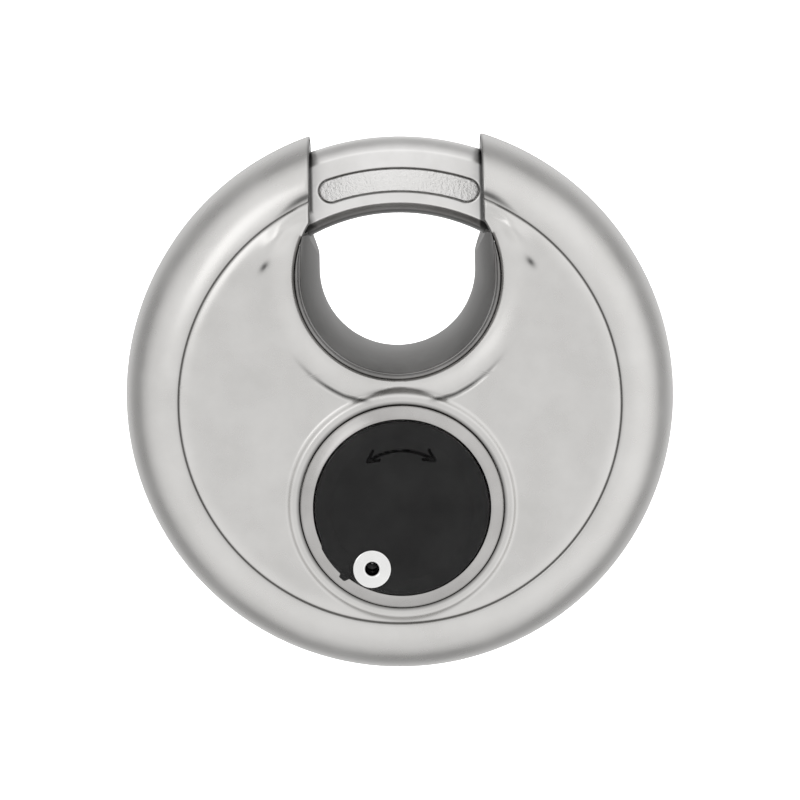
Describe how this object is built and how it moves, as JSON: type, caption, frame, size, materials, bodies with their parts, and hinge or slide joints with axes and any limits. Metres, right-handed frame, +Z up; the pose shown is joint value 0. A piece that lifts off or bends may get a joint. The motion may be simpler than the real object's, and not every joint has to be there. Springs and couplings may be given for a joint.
{
  "type": "disc padlock",
  "caption": "Round shrouded padlock: a curved shackle slides across a U-shaped mouth in a domed steel disc, with a keyed cylinder under a swinging cover.",
  "frame": {"origin": "centre of the round body on its seam plane, which is also the centre of the circle that the shackle's bar follows", "axes": "+Z up towards the shackle, +Y through the body from its keyhole side to its back, +X to the right as seen from the keyhole side"},
  "size_m": [0.07, 0.0287, 0.0683],
  "materials": {
    "shell_steel": "satin stainless sheet with a fine bead-blasted grain",
    "liner_steel": "dull stainless strip, darker in the recess",
    "shackle_steel": "satin stainless bar",
    "collar_steel": "turned stainless with fine circular lines",
    "rivet_steel": "bright plated hollow rivet",
    "pin_steel": "plain steel",
    "hard_steel": "hardened steel",
    "die_casting": "grey zinc casting",
    "brass": "turned brass",
    "black_plastic": "satin black moulding"
  },
  "bodies": {
    "housing": {"front_shell": "shell_steel", "rear_shell": "shell_steel", "opening_liner": "liner_steel", "front_guide": "die_casting", "rear_guide": "die_casting", "guide_pins": "pin_steel", "cylinder_collar": "collar_steel", "cylinder_housing": "brass", "cylinder_pin": "pin_steel", "cover_rivet": "rivet_steel", "cover_washer": "pin_steel"},
    "shackle_arm": {"shackle": "shackle_steel"},
    "key_core": {"core": "brass", "drill_plate": "hard_steel", "disc_1": "brass", "disc_2": "brass", "disc_3": "brass", "disc_4": "brass", "disc_5": "brass", "disc_6": "brass", "disc_7": "brass", "spacer_1": "pin_steel", "spacer_2": "pin_steel", "spacer_3": "pin_steel", "spacer_4": "pin_steel", "spacer_5": "pin_steel", "spacer_6": "pin_steel", "sidebar": "pin_steel", "core_clip": "hard_steel", "driver": "hard_steel"},
    "cover": {"keyhole_cover": "black_plastic"}
  },
  "joints": [
    {"name": "shackle_turn", "type": "hinge", "parent": "housing", "child": "shackle_arm", "pos_m": [0, 0, 0], "axis": [0, -1, 0], "range_deg": [0, 64]},
    {"name": "core_turn", "type": "hinge", "parent": "housing", "child": "key_core", "pos_m": [0, 0, -0.0128], "axis": [0, -1, 0], "range_deg": [0, 162]},
    {"name": "cover_swing", "type": "hinge", "parent": "housing", "child": "cover", "pos_m": [-0.00391, -0.0148, -0.02024], "axis": [0, -1, 0], "range_deg": [-150, 150]}
  ],
  "couplings": [
    {"joint": "core_turn", "follows": "shackle_turn", "ratio": 2.5312}
  ]
}
